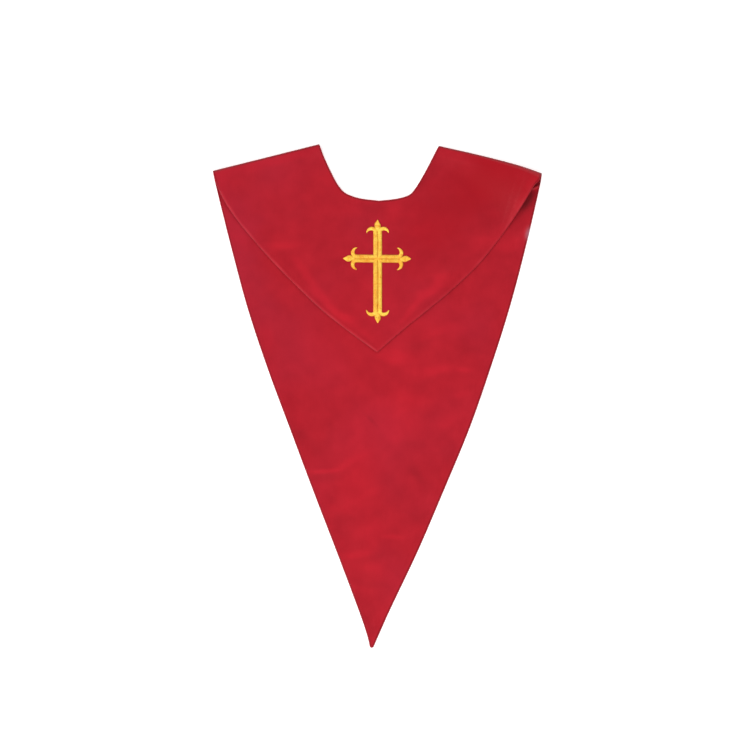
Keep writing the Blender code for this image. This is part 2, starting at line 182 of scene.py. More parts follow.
# %% Floor and light
FLOOR_SIZE = 9
FLOOR_DROP = 0.3
FLOOR_WHITE = (0.93, 0.93, 0.93, 1)
FLOOR_GLOW = 0.35
TENT_STOPS = ((0.0, 0.9), (0.12, 0.72), (0.5, 0.75), (0.72, 0.95), (0.9, 0.14), (1.0, 0.08))
TENT_STRENGTH = 1.56
TENT_LEAN = -0.28
# Each row: name, place in metres, size in metres and power in watts.
SOFT_BOXES = (("key_box", (-1.35, -1.45, 1.65), 1.6, 35), ("fill_box", (0.9, 1.6, 1.5), 1.4, 8))

bpy.ops.mesh.primitive_plane_add(size=FLOOR_SIZE, location=(0, 0, -FLOOR_DROP * MM))
floor = bpy.context.object
floor.name = "floor"
paint = Finish(bpy.data.materials.new("floor_white"))
paint.set(
    Base_Color=FLOOR_WHITE,
    Roughness=0.9,
    Specular_IOR_Level=0,
    Emission_Color=(1, 1, 1, 1),
    Emission_Strength=FLOOR_GLOW,
)
floor.data.materials.append(paint.owner)

scene.world = bpy.data.worlds.new("white_tent")
sky = Finish(scene.world, "Background")
rightwards, upwards = sky.split(sky.node("TexCoord", output="Generated"), "XZ")
tent = sky.node("ValToRGB", values={0: upwards})
stops = tent.socket.node.color_ramp.elements
while len(stops) < len(TENT_STOPS):
    stops.new(0.5)
for stop, (place, brightness) in zip(stops, TENT_STOPS):
    stop.position = place
    stop.color = (brightness, brightness, brightness, 1)
sky.set(Color=tent, Strength=rightwards * (TENT_STRENGTH * TENT_LEAN) + TENT_STRENGTH)

for name, place, size, power in SOFT_BOXES:
    aim = (-Vector(place)).to_track_quat("-Z", "Y").to_euler()
    bpy.ops.object.light_add(type="AREA", location=place, rotation=aim)
    light = bpy.context.object
    light.name = name
    light.data.size = size
    light.data.energy = power
scene.view_settings.view_transform = "Standard"
print("floor and", len(SOFT_BOXES), "soft boxes")

# %% [markdown]
# Satin is woven so that each thread floats over several others before it dips under one. Seen
# close it is a field of fine lengthwise threads with tiny dips, and from afar it has a broad,
# soft sheen. Both sides of the stole are this satin. The pattern runs on a UV map that holds the
# flat cut of the cloth, so the threads turn with it over the shoulder folds. A lighter band along
# the turned and pressed edges is partly wear and partly a painted highlight. Painted shade darkens
# the cloth just inside an edge that rolls down to the table and inside the folds, and the seam line
# is darker. These places, the patches of painted sheen and shade, the cooler or purer red and one
# painted glint are numbers kept at the points of the mesh.

# %% Satin
THREAD = 0.28
FLOAT = 8
TWILL = 3
STREAKS = (1400, 45)
CLOUDS = 11
MOTTLE = 40
CRIMSON_CLOUDS = 7
FUZZ = 900
# Where the painted shade lies just inside the outer edges that roll down.
ROLLED_SHADE_PLACE = 1.7
ROLLED_SHADE_WIDTH = 1.0
# The patch tone below which painted shadow in the right fold begins.
FOLD_SHADOW_FROM = -0.5
SATIN_LIGHT = 0.755
# The satin's tone runs from the deep to the bright red. Random clouds and patches of painted sheen
# and painted shade move it.
DEEP_RED = colour(160, 17, 33, SATIN_LIGHT)
BRIGHT_RED = colour(203, 33, 48, SATIN_LIGHT)
CRIMSON_RED = colour(178, 38, 62, SATIN_LIGHT)
PURE_RED = colour(174, 7, 25, SATIN_LIGHT)
# Wear with a painted highlight along the turned edges.
WORN_HIGHLIGHT_RED = colour(214, 52, 66, SATIN_LIGHT)
# Painted shade inside rolled edges and folds, and the darker seam line.
SHADE_AND_SEAM_RED = colour(112, 7, 18, SATIN_LIGHT)
# A painted glint of whitish sheen on the right edge.
GLINT_RED = colour(178, 104, 118, SATIN_LIGHT)


def satin(name):
    finish = Finish(bpy.data.materials.new(name))
    cut = finish.node("UVMap", {"uv_map": "cut"})
    numbers = "edge rim outer depth seam lustre hue pale"
    edge, rim, outer, depth, seam, lustre, hue, pale = finish.kept(numbers)
    across, along = (axis / (THREAD * MM) for axis in finish.split(cut))
    thread = across.maths("FLOOR")
    round_top = ((across - thread) * pi).maths("SINE")
    dip = ((along + thread * TWILL) / FLOAT).maths("FRACT")
    dip = (dip * FLOAT).maths("SMOOTH_MIN", 1.0, 0.5)
    streaks = finish.cloudy(finish.stretched(cut, *STREAKS), 1.0)
    clouds = finish.cloudy(cut, CLOUDS, 2.5)
    mottle = finish.cloudy(cut, MOTTLE, 3.0)
    crimson = finish.cloudy(cut, CRIMSON_CLOUDS, 1.0)
    fuzz = finish.cloudy(cut, FUZZ)
    shift = (clouds * 0.3 + mottle * 0.5 + streaks * 0.2 - 0.5) * 1.3
    # The tone between deep and bright red carries the painted sheen and shade patches.
    body = finish.blend(shift + lustre + 0.5, DEEP_RED, BRIGHT_RED)
    body = finish.blend((crimson - 0.45) * 0.8 + hue, body, CRIMSON_RED)
    body = finish.blend(0 - hue, body, PURE_RED)
    # The lighter band along the edges: wear with a painted highlight.
    worn_highlight = edge * (0.5 + mottle)
    with_worn_highlight = finish.blend(worn_highlight * 0.55, body, WORN_HIGHLIGHT_RED)
    # Painted shadow deep in the right fold, where the patch tone is lowest.
    fold_shadow = (FOLD_SHADOW_FROM - lustre).maths("MAXIMUM", 0.0)
    # Painted shade just inside the outer edges where they roll down to the table.
    beside = ((depth - ROLLED_SHADE_PLACE) / ROLLED_SHADE_WIDTH) ** 2.0
    rolled_shade = outer * (beside * -1).maths("EXPONENT")
    # Painted shade at the rims, in the folds and inside rolled edges, with the darker seam line.
    shade_and_seam = seam * 0.5 + rim * 0.6 + rolled_shade * 0.6 + fold_shadow * 0.8
    shade_and_seam = finish.blend(shade_and_seam, with_worn_highlight, SHADE_AND_SEAM_RED)
    weave = round_top * 0.5 * dip + streaks * 0.9 + fuzz * 0.3
    finish.set(
        # The last blend paints a glint of whitish sheen on the right edge.
        Base_Color=finish.blend(pale, shade_and_seam, GLINT_RED),
        Roughness=0.4 + (streaks - 0.5) * 0.14 - lustre * 0.15 + worn_highlight * 0.1,
        Normal=finish.bump(weave, strength=0.35, distance=0.05),
        Specular_IOR_Level=0.17,
        Sheen_Weight=0.04,
        Sheen_Roughness=0.42,
        Sheen_Tint=(1.0, 0.35, 0.38, 1),
    )
    return finish.owner


back_satin = satin("back_satin")
front_satin = satin("front_satin")
print("satin of", round(1 / THREAD, 1), "threads to the millimetre")

# %% [markdown]
# The pattern pieces. Each row gives a height and the places of a panel's left and right edge there,
# from the shoulder corners down to the point. A smooth curve joins them. The neckline is a row of
# places from the left shoulder seam to the right one.

# %% Cut of the panels
WALL = 1.5
GAP = 0.3
BACK_SECTIONS = (
    (322, -248.6, 251), (225, -224.4, 228.4), (132, -199.2, 203.6), (39, -168.2, 174),
    (-53, -134, 141.7), (-146, -99.2, 103.1), (-238, -63.8, 63.8), (-331, -28.8, 19.8),
    (-372, -15, 1.4),
)
BACK_POINT = (-9.5, -397.3)
FRONT_SECTIONS = (
    (332, -249.6, 249.6), (324, -247, 242.2), (300, -235.5, 227.9), (270, -215.6, 208.8),
    (235, -186.6, 183.6), (200, -155.1, 154.5), (165, -120.4, 117.8), (130, -83.2, 75.9),
    (100, -45.2, 38.7),
)
FRONT_POINT = (0.1, 66.5)
NECK_SCOOP = (
    (-82.1, 369.1), (-71.3, 345.5), (-62.0, 328.0), (-52.7, 315.8), (-43.5, 310.0), (-24.9, 304.3),
    (2.9, 300.9), (30.7, 304.1), (49.2, 309.8), (58.5, 319.4), (68.4, 335.2), (78.0, 352.6),
    (88.0, 372.0),
)
BACK_NECK_DROP = 19
BACK_POINT_ROUND = 3.3
FRONT_POINT_ROUND = 1.6
CROSS_MIDDLE = np.array((0.8, 211.4))
CROSSBAR_TILT = 0.5
ARM_UP = 59.4
ARM_DOWN = 99.1
ARM_LEFT = 53.1
ARM_RIGHT = 51.2
UPRIGHT_HALF = 6.6
CROSSBAR_HALF = 5.9


def smooth_curve(points, spacing):
    """Points about `spacing` apart on a smooth curve through the given ones, with both ends."""
    points = np.asarray(points, float)
    last = len(points) - 1
    spans = []
    for index in range(last):
        start, end = points[index], points[index + 1]
        before, after = points[max(index - 1, 0)], points[min(index + 2, last)]
        chord = norm(end - start)
        leaving = chord * (end - before) / norm(end - before)
        arriving = chord * (after - start) / norm(after - start)
        steps = max(1, round(chord / spacing))
        t = np.arange(steps)[:, None] / steps
        stay, come = 2 * t**3 - 3 * t**2 + 1, 3 * t**2 - 2 * t**3
        bends = (t**3 - 2 * t**2 + t) * leaving + (t**3 - t**2) * arriving
        spans.append(stay * start + come * end + bends)
    return np.vstack([*spans, points[-1:]])


def run_along(points):
    """The length along a line of points, at each of them."""
    return np.concatenate([[0], np.cumsum(norm(np.diff(points, axis=0), axis=1))])


print("the back panel narrows to its point over", len(BACK_SECTIONS), "sections")

# %% [markdown]
# A shoulder fold is where the front panel turns over to become the back one. The cloth runs round
# a quarter of a circle below the seam and another above it. Laid flat, the fold is tight at the
# neck and springs open towards the corner, most of all on the right, where the front panel stands
# clear of the back one before it settles.

# %% Shoulder folds
LEFT_SHOULDER = ((-89.4, 388.3), (-254.0, 346.9))
RIGHT_SHOULDER = ((95.3, 385.6), (158.9, 371.1), (220.6, 354.8), (254.0, 343.0))
# At the neck and at the corner: the radius, and how far in the front panel comes down.
LEFT_RADII, LEFT_SETTLES = (2.2, 4.2), (26, 96)
RIGHT_RADII, RIGHT_SETTLES = (2.4, 9.0), (30, 130)
RADIUS_GROWTH = 2.0
SETTLE_GROWTH = 1.5
SEAM_GAP = 0.06
LINE_STEP = 12
ROWS_BEYOND = 4


def grown(ends, share, growth):
    """A value that grows from the neck to the corner."""
    return ends[0] + (ends[1] - ends[0]) * share**growth


class Shoulder:
    """A shoulder fold, along its outermost line from the neck point to the corner."""

    def __init__(self, line, radii, settles):
        self.line = smooth_curve(line, LINE_STEP)
        self.lengths = run_along(self.line)
        self.radii, self.settles = radii, settles

    def radius(self, share):
        return grown(self.radii, share, RADIUS_GROWTH)

    def settle(self, share):
        return grown(self.settles, share, SETTLE_GROWTH)

    def slack(self, share):
        """How much further the cut reaches than the fold shows from above."""
        return self.radius(share) * (pi / 2 - 1) - WALL / 2

    def locate(self, points):
        """Each point's share of the way to the corner, its way in from the fold, and its depth."""
        steps = np.diff(self.line, axis=0)
        lengths = norm(steps, axis=1)
        ways = steps / lengths[:, None]
        turns = np.column_stack([ways[:, 1], -ways[:, 0]]) * np.sign(ways[:, :1])
        offsets = points[:, None] - self.line[:-1]
        along = (offsets * ways).sum(axis=2)
        held = np.clip(along, 0, lengths)[:, :, None] * ways
        nearest = norm(offsets - held, axis=2).argmin(axis=1)
        chosen = np.arange(len(points)), nearest
        share = np.clip((self.lengths[nearest] + along[chosen]) / self.lengths[-1], 0, 1)
        return share, turns[nearest], (offsets[chosen] * turns[nearest]).sum(axis=1)

    def seam(self, spacing):
        """The seam edge of the cut, from the neck point to the corner."""
        edge = smooth_curve(self.line, spacing)
        share, inwards, _ = self.locate(edge)
        return edge - inwards * (self.slack(share) - SEAM_GAP / 2)[:, None]

    def rows(self, spacing, fine):
        """Points of the cut in fine rows along the fold, where the cloth turns."""
        edge = smooth_curve(self.line, spacing)[1:-1]
        share, inwards, _ = self.locate(edge)
        quarter = self.radius(share) * pi / 2
        rows = []
        for row in range(1, 1 + ceil(quarter.max() / fine) + ROWS_BEYOND):
            depth = quarter * min(1, row * fine / quarter.max()) - self.slack(share)
            depth += max(0, row * fine - quarter.max())
            rows.append(edge + inwards * depth[:, None])
        return np.vstack(rows)


SHOULDERS = (
    Shoulder(LEFT_SHOULDER, LEFT_RADII, LEFT_SETTLES),
    Shoulder(RIGHT_SHOULDER, RIGHT_RADII, RIGHT_SETTLES),
)
print("shoulder seams in mm:", [round(s.lengths[-1], 1) for s in SHOULDERS])

# %% [markdown]
# The rows are joined into one closed outline for each panel: down the left side, round the tip, up
# the right side, and back along the shoulder seams and the neck between them. Its points are close
# together where the cloth turns over a fold, and the tip is rounded, as a turned corner is.

# %% Outlines of the cut
FOLD_STEP = 0.6
FINE_LENGTH = 12
GRADING = 0.2
TRIAL_STEP = 0.2
TIP_POINTS = 8


def graded(points, spacing):
    """A smooth edge that starts at a seam with close points, where the cloth turns."""
    fine = smooth_curve(points, TRIAL_STEP)
    kept, run, since = [fine[0]], 0.0, 0.0
    for before, point in zip(fine, fine[1:]):
        step = norm(point - before)
        run, since = run + step, since + step
        if since >= min(spacing, FOLD_STEP + max(0.0, run - FINE_LENGTH) * GRADING):
            kept.append(point)
            since = 0.0
    if since < FOLD_STEP:
        kept.pop()
    return np.vstack([*kept, fine[-1]])


def rounded_tip(left, point, right, radius):
    """The two sides without their sharp meeting, and the small arc between them."""
    point = np.asarray(point)
    ways = [side[-TIP_POINTS] - point for side in (left, right)]
    ways = [way / norm(way) for way in ways]
    half = acos(float(ways[0] @ ways[1])) / 2
    reach = radius / tan(half)
    middle = (ways[0] + ways[1]) / norm(ways[0] + ways[1])
    centre = point + middle * radius / sin(half)
    x, y = point + ways[0] * reach - centre
    arc = [centre + (x * cos(a) - y * sin(a), x * sin(a) + y * cos(a))
           for a in np.linspace(0, pi - 2 * half, TIP_POINTS)]
    cleared = reach + radius / 2
    sides = [side[norm(side - point, axis=1) > cleared] for side in (left, right)]
    return np.vstack([sides[0], arc, sides[1][::-1]])


def panel_outline(sections, point, point_round, neckline, spacing):
    """The cut, anticlockwise from the left shoulder corner, and which points are on a seam."""
    seams = [shoulder.seam(spacing) for shoulder in SHOULDERS]
    left = graded([seams[0][-1], *((left, y) for y, left, _ in sections), point], spacing)
    right = graded([seams[1][-1], *((right, y) for y, _, right in sections), point], spacing)
    free = rounded_tip(left, point, right, point_round)
    middle = len(neckline) // 2
    left_neck = graded([seams[0][0], *neckline[: middle + 1]], spacing)
    right_neck = graded([seams[1][0], *reversed(neckline[middle:])], spacing)
    parts = [free, seams[1][-2::-1], right_neck[1:], left_neck[-2::-1], seams[0][1:-1]]
    lengths = [len(part) for part in parts]
    ends = np.cumsum(lengths)
    on_seam = np.repeat([False, True, False, False, True], lengths)
    on_seam[[0, ends[0] - 1, ends[3] - 1]] = True
    return np.vstack(parts), on_seam


BACK_SPACING = 2.6
FRONT_SPACING = 2.0
top, bottom = max(y for _, y in NECK_SCOOP), min(y for _, y in NECK_SCOOP)
back_neck = [(x, y - BACK_NECK_DROP * (top - y) / (top - bottom)) for x, y in NECK_SCOOP]
back_cut, back_seams = panel_outline(
    BACK_SECTIONS, BACK_POINT, BACK_POINT_ROUND, back_neck, BACK_SPACING
)
front_cut, front_seams = panel_outline(
    FRONT_SECTIONS, FRONT_POINT, FRONT_POINT_ROUND, NECK_SCOOP, FRONT_SPACING
)
print("points round the back and front panel:", len(back_cut), len(front_cut))

# %% [markdown]
# Much of what sewing does to the cloth depends on how far in from an edge a point lies, and how
# far along it. Each panel's outline gets a search tree that answers both.

# %% How far in from an edge
STRAIGHT_STEP = 0.8


def cut_area(outline):
    x, y = outline.T
    return 0.5 * abs(np.dot(x, np.roll(y, -1)) - np.dot(y, np.roll(x, -1)))


def tree_of(points):
    """A tree that finds the nearest of some flat points."""
    tree = KDTree(len(points))
    for index, point in enumerate(points):
        tree.insert((*point, 0), index)
    tree.balance()
    return tree


def straight_line(points):
    """Straight steps of at most `STRAIGHT_STEP` between the given points."""
    dense = []
    for start, end in zip(points, points[1:]):
        count = max(1, ceil(norm(end - start) / STRAIGHT_STEP))
        dense.append(start + (end - start) * np.arange(count)[:, None] / count)
    return np.vstack([*dense, points[-1:]])


class Edge:
    """An outline that says how far in a point is, and how far along it."""

    def __init__(self, outline):
        self.outline = outline
        dense = straight_line(np.vstack([outline, outline[:1]]))
        self.run = run_along(dense)
        self.tree = tree_of(dense)

    def inside(self, points):
        within = np.zeros(len(points), bool)
        x, y = points.T
        for start, end in zip(self.outline, np.roll(self.outline, -1, axis=0)):
            if start[1] != end[1]:
                crosses = (start[1] > y) != (end[1] > y)
                meets = start[0] + (y - start[1]) / (end[1] - start[1]) * (end[0] - start[0])
                within ^= crosses & (x < meets)
        return within

    def measure(self, points):
        """How far in each point is, negative outside, and the length along the edge to it."""
        found = [self.tree.find((x, y, 0)) for x, y in points]
        away = np.array([hit[2] for hit in found])
        run = self.run[[hit[1] for hit in found]]
        return np.where(self.inside(points), away, -away), run

    def within(self, points, depth):
        """The points that lie further in than a depth."""
        return points[self.measure(points)[0] > depth]


back_edge, front_edge = Edge(back_cut), Edge(front_cut)
areas = [round(cut_area(cut) / 1e6, 4) for cut in (back_cut, front_cut)]
print("cut areas of the back and front panel in square metres:", areas)

# %% [markdown]
# Creases. Satin that was folded in a drawer never lies quite flat. Each crease is one row of a
# table: where its middle is, which way it runs, how long and wide it is and how high it stands.
# A tuck is a crease that lifts the whole cloth, top and underside, as the small one does that
# catches the light in the right shoulder fold, and a lower one on the right edge.

# %% Crease tables
Mark = namedtuple("Mark", "x y angle length width amount")


def marks(*rows):
    """The rows of a table of creases or patches, with names for their numbers."""
    return [Mark(*row) for row in rows]


FRONT_CREASES = marks(
    (-70, 145, -44, 70, 9, 0.7), (72, 160, 34, 80, 13, 0.8), (-145, 232, 2, 52, 7, 0.5),
    (158, 245, 40, 60, 16, 0.7), (113, 189, 40, 34, 9, 1.1), (36, 102, 46, 22, 7, 0.7),
)
BACK_CREASES = marks(
    (-82, -116, 4, 50, 7, 0.6), (45, -40, 62, 170, 30, 0.7), (-30, -185, -70, 190, 26, 0.6),
    (222, 246, 72, 26, 7, 0.8), (110, 60, 38, 110, 20, 0.5),
)
BACK_TUCKS = marks((244, 322, 24, 21, 2.1, 2.6), (232, 256, 70, 24, 4, 1.3))
END_FADE = 8.0


def ease(value, start, end):
    """0 before start, 1 after end, and a soft curve between them."""
    fraction = np.clip((value - start) / (end - start), 0, 1)
    return fraction * fraction * (3 - 2 * fraction)


def place_on(mark, x, y):
    """Places along and across a mark, as shares of its length and width."""
    turn = radians(mark.angle)
    x, y = x - mark.x, y - mark.y
    along = (x * cos(turn) + y * sin(turn)) / mark.length
    return along, (y * cos(turn) - x * sin(turn)) / mark.width


def crease_height(points, creases):
    """The height of all the creases together, each fading along and across itself."""
    total = np.zeros(len(points))
    for crease in creases:
        along, across = place_on(crease, *points.T)
        total += crease.amount * np.exp(-(END_FADE * along**2 + across**2))
    return total


print(len(FRONT_CREASES), "creases in the front panel and", len(BACK_CREASES), "in the back one")

# %% [markdown]
# Soft patches of painted sheen and painted shade make the red look a little lighter or deeper;
# the darkest are painted shadow under the lifted right fold, and a few are painted highlights.
# They are listed like the creases, with a tone in hundredths as a row's last number. `HUES`
# makes the red cooler or purer, and there is one painted glint on the right edge.

# %% Painted sheen and shade of the satin
# Lighter rows are painted sheen and highlights where the cloth curls towards the light; darker
# rows, such as the right shoulder, are painted shade.
FRONT_SHEEN_AND_SHADE = marks(
    (112, 226, 0, 60, 32, -9), (-165, 300, 75, 66, 34, -6), (100, 332, 15, 26, 18, 10),
    (-10, 130, 0, 70, 70, 7), (-98, 333, 20, 30, 24, -5), (-42, 255, 10, 50, 22, -5),
    (140, 310, -15, 92, 44, -23), (40, 182, 80, 22, 12, 5), (-80, 205, -55, 55, 26, -6),
    (-120, 285, 35, 20, 11, -13), (-3, 286, 5, 18, 9, -14), (29, 245, 80, 24, 11, -10),
    (25, 282, 70, 20, 11, 12), (-38, 286, -8, 24, 8, 10), (-67, 324, -50, 22, 10, 10),
    (-145, 232, 2, 30, 6, 20), (-124, 207, -50, 10, 7, 16), (-108, 184, -66, 20, 7, 22),
    (-87, 156, -57, 22, 8, 28), (-62, 128, -45, 24, 10, 32), (-42, 119, -20, 14, 6, 20),
    (-25, 101, -38, 22, 4, 14), (49, 128, 51, 22, 5, 22), (74, 156, 39, 24, 8, 28),
    (95, 173, 35, 24, 10, 24), (79, 250, -30, 26, 12, 11), (162, 236, 28, 28, 12, 16),
    (219, 298, 57, 24, 6, 34), (243, 331, 40, 15, 8, 26), (-160, 362, 14, 66, 7, 16),
    (175, 361, -15, 66, 5, 6), (-238, 330, 75, 26, 8, 10),
)
# The rows with tones of -50 to -75 are painted shadow under the lifted right fold, and the 80
# beside them is a painted highlight on the tuck.
BACK_SHEEN_AND_SHADE = marks(
    (-150, 85, -65, 110, 42, -9), (-188, 190, -65, 60, 22, -8), (32, 52, 0, 85, 50, 9),
    (185, 165, 65, 60, 24, -7), (236, 302, 62, 18, 8, -50), (248, 328.5, 60, 8, 5, -70),
    (231.5, 300, 60, 18, 5, -75), (245, 319.5, 22, 9, 2.6, 80), (230, 254, 72, 11, 8, 25),
    (206, 233, 8, 24, 10, 18), (-213, 243, -30, 16, 9, 16), (-172, 92, -60, 20, 10, 14),
    (-102, 72, 85, 44, 26, 7), (107, 101, 15, 34, 10, 20), (30, 60, -12, 26, 10, 26),
    (89, 39, 6, 28, 8, 26), (135, 40, -5, 12, 4, 22), (66, 77, 0, 16, 9, -14),
    (140, 70, 3, 38, 9, -8), (82, 116, 25, 34, 15, 11), (69, 12, 30, 16, 9, -14),
    (4, 30, -60, 40, 20, -4), (36, -8, 20, 42, 22, 14), (33, -46, 60, 42, 22, 22),
    (-27, -70, 80, 40, 22, 20), (-9, -38, -45, 14, 2.6, -22), (109, -40, 40, 18, 8, 16),
    (130, 2, 10, 11, 5, 16), (56, -75, 5, 32, 6, -7), (62, -120, -62, 20, 9, -16),
    (109, -87, 30, 16, 10, -14), (-112, -66, -32, 30, 14, -15), (-72, -62, 85, 20, 7, -12),
    (-84, -117, 5, 26, 3.4, 34), (-45, -104, 28, 28, 6, 22), (-80, -127, -4, 26, 6, -13),
    (-30, -128, 50, 34, 20, 22), (-14, -152, 25, 22, 7, 16), (-40, -169, 8, 30, 12, 18),
    (22, -140, -70, 34, 14, -5), (-54, -200, 60, 24, 14, -2), (-10, -214, 65, 26, 17, 17),
    (24, -218, -4, 15, 4, 22), (-30, -245, 8, 28, 6, 24), (3, -241, 70, 13, 8, -14),
    (-3, -268, -14, 24, 9, 18), (56, -186, -30, 22, 12, -6), (3, -128, 85, 24, 14, 9),
    (-30, -196, 60, 24, 16, 7), (-13, -291, -5, 24, 6, -12), (-20, -338, -68, 32, 14, -14),
)
HUES = marks(
    (192, 337, 0, 66, 52, -62), (104, 276, 45, 74, 46, -34), (-226, 238, -65, 120, 48, 27),
)
# One painted glint: whitish sheen where a crease on the right edge catches the light.
GLINT_SPOTS = marks((235, 250.5, 76, 9, 5.5, 80))
FRONT_TONE = 0.0
BACK_TONE = 0.02
TONE_STRENGTH = 0.012
WARP = 5.0
WARPED_WIDTH = (4, 14)
PATCH_CORE = 0.1
PATCH_FADE = 1.3


def patch_tone(points, patches, base):
    """The tone of soft patches with uneven edges: painted sheen and shade, hue or a painted glint.
    """
    x, y = points.T
    warp_x = WARP * np.sin(y / 7.3 + 1.7 * np.sin(x / 11.9))
    warp_y = WARP * np.sin(x / 8.9 + 1.9 * np.sin(y / 9.7))
    total = np.full(len(points), base)
    for patch in patches:
        share = ease(patch.width, *WARPED_WIDTH)
        along, across = place_on(patch, x + share * warp_x, y + share * warp_y)
        fade = np.maximum(along**2 + across**2 - PATCH_CORE, 0) ** PATCH_FADE
        total += TONE_STRENGTH * patch.amount * np.exp(-fade)
    return total


print(len(FRONT_SHEEN_AND_SHADE) + len(BACK_SHEEN_AND_SHADE), "patches of lustre")

# %% [markdown]
# Beside the creases there is what sewing does. A turned edge is plump, because the seam allowance
# lies rolled inside it. A finger's breadth further in, the allowance ends in a soft step. And the
# stitches draw the edge up into small uneven puckers. Between them the cloth has low waves.

# %% Edge swell, allowance step and puckers
BAND_RISE = 0.4
BAND_WIDTH = 12
BAND_STEP = 5
SWELL = 0.3
SWELL_PLACE = 2.6
SWELL_WIDTH = 1.9
PUCKER = 0.11
PUCKER_DEPTH = 11
CROSS_PUCKER = 0.09
CROSS_PUCKER_PLACE = 3
CROSS_PUCKER_WIDTH = 5
EDGE_ROUND = 1.2
ALLOWANCE_LENGTHS = (83, 131, 207)
PUCKER_LENGTHS = (9.1, 13.7, 21.3, 34.9)
GATHER_LENGTHS = (67, 111, 173)
STITCH_LENGTHS = (5.3, 7.9, 12.7, 19.1)
chance = np.random.default_rng(7)


def uneven(run, lengths, phases):
    """An uneven wave of about -1 to 1, from a few wave lengths."""
    waves = [np.sin(2 * pi * run / length + phase) for length, phase in zip(lengths, phases)]
    return sum(waves) / sqrt(len(lengths))


def bell(value, middle, width):
    """1 in the middle, fading softly to both sides."""
    return np.exp(-(((value - middle) / width) ** 2))


def sewn_edge(depth, run, phases):
    """The height that sewing adds at a depth inside the edge and a length along it."""
    lying = 0.55 + 0.45 * uneven(run, ALLOWANCE_LENGTHS, phases[2:5])
    band = BAND_RISE * lying * (1 - ease(depth, BAND_WIDTH - 2, BAND_WIDTH + 2 * BAND_STEP))
    swell = SWELL * bell(depth, SWELL_PLACE, SWELL_WIDTH)
    drawn = uneven(run, PUCKER_LENGTHS, phases[:4])
    patchy = 0.6 + 0.4 * uneven(run, GATHER_LENGTHS, phases[4:])
    pucker = PUCKER * drawn * patchy * bell(depth, 0, PUCKER_DEPTH)
    return band + (swell + pucker) * ease(depth, 0, EDGE_ROUND)


def undulation(points, size, height, phases):
    """Broad, very low waves all over a panel."""
    x, y = points.T / size
    first = np.sin(2.1 * x + 1.3 * np.sin(1.7 * y + phases[0]) + phases[1])
    second = np.sin(1.9 * y + 1.6 * np.sin(1.3 * x + phases[2]) + phases[3])
    return height * (first + second) / 2


def beyond(value, low, high):
    """How far a value is outside its range."""
    return np.maximum(np.maximum(value - high, low - value), 0)


def by_cross(points):
    """How far a point is outside the bars of the cross, and its place along the nearer one."""
    x, y = (points - CROSS_MIDDLE).T
    upright = np.hypot(beyond(x, -UPRIGHT_HALF, UPRIGHT_HALF), beyond(y, -ARM_DOWN, ARM_UP))
    crossbar = np.hypot(beyond(x, -ARM_LEFT, ARM_RIGHT), beyond(y, -CROSSBAR_HALF, CROSSBAR_HALF))
    return np.minimum(upright, crossbar), np.where(upright < crossbar, y, x)


def stitched_pucker(points, phases):
    """Small puckers where the embroidery draws the satin in."""
    away, run = by_cross(points)
    drawn = uneven(run, STITCH_LENGTHS, phases)
    return CROSS_PUCKER * drawn * bell(away, CROSS_PUCKER_PLACE, CROSS_PUCKER_WIDTH)


BACK_PHASES = chance.uniform(0, 2 * pi, 12)
FRONT_PHASES = chance.uniform(0, 2 * pi, 12)
print("edges swell by", SWELL, "mm and pucker by", PUCKER, "mm")

# %% [markdown]
# Laying the cut down. A function takes points of the flat cut and a share of the way up through
# the cloth, and gives their places in space. In a shoulder fold they go round a circle. Beyond it,
# the back panel lies on the table, and the front panel comes down onto the back one.

# %% Laying the cloth
COVERED_FADE = (4, 20)
CROSS_CALM = (10, 34)
BACK_WAVES = (55, 0.35)
FRONT_WAVES = (48, 0.25)


def fold_place(points):
    """For each point: its shoulder's radius and slack there, the way in, its depth and settle."""
    radius, slack, depth, settle = (np.zeros(len(points)) for _ in range(4))
    inwards = np.zeros((len(points), 2))
    for shoulder, chosen in zip(SHOULDERS, (points[:, 0] < 0, points[:, 0] >= 0)):
        share, way, deep = shoulder.locate(points[chosen])
        radius[chosen], slack[chosen] = shoulder.radius(share), shoulder.slack(share)
        inwards[chosen], depth[chosen], settle[chosen] = way, deep, shoulder.settle(share)
    return radius, slack, inwards, depth, settle


def over_fold(points, place, share, above, flat):
    """Places round the fold for cloth that is in it, and the flat places for the rest."""
    radius, slack, inwards, depth, _ = place
    angle = (depth + slack) / radius
    side = 1 if above else -1
    reach = radius + side * (share * WALL - WALL / 2)
    shift = WALL / 2 + radius - reach * np.cos(angle) - depth
    across = points + inwards * shift[:, None]
    curled = np.column_stack([across, WALL / 2 + radius + side * reach * np.sin(angle)])
    return np.where((depth < WALL / 2 + radius)[:, None], curled, flat)


def lay_back(points, share):
    place = fold_place(points)
    depth, run = back_edge.measure(points)
    covered, _ = front_edge.measure(points)
    bare = ease(-covered, *COVERED_FADE)
    rise = sewn_edge(depth, run, BACK_PHASES) + crease_height(points, BACK_CREASES)
    rise += undulation(points, *BACK_WAVES, BACK_PHASES[8:])
    tuck = crease_height(points, BACK_TUCKS)
    flat = np.column_stack([points, tuck + share * (WALL + bare * rise)])
    return over_fold(points, place, share, False, flat)


